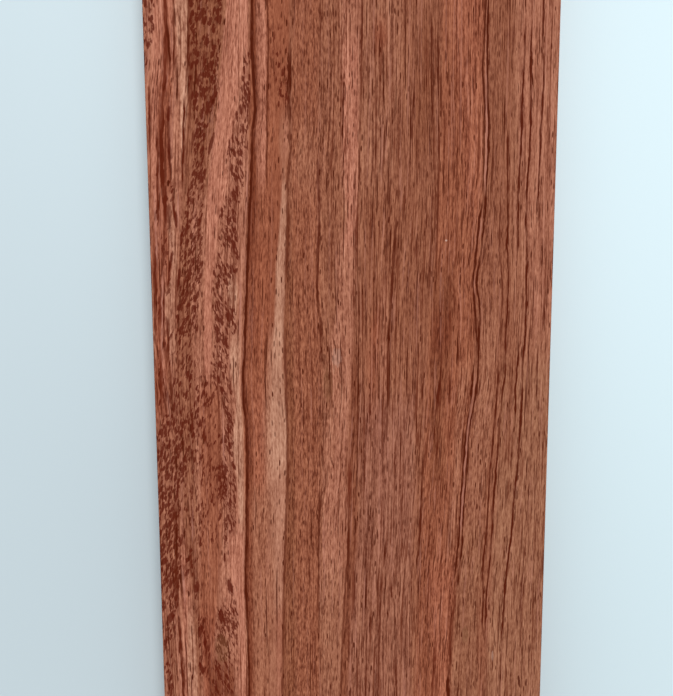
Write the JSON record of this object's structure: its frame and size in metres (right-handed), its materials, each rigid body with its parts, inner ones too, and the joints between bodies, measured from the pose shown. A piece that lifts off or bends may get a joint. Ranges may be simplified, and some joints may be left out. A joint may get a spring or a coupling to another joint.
{
  "type": "granadillo wood board",
  "caption": "Planed hardwood board with straight square edges and sawn ends, reddish brown with darker streaks and flecks along the grain.",
  "frame": {"origin": "middle of the back face, which the board lies on", "axes": "+X across the board towards its right edge as the picture shows it, +Y along the grain towards the end at the top of the picture, +Z out of the show face"},
  "size_m": [0.15, 0.6, 0.021],
  "materials": {
    "granadillo_heartwood": "planed and sanded, dry, with no finish on it"
  },
  "bodies": {
    "root": {"board": "granadillo_heartwood"}
  },
  "joints": []
}
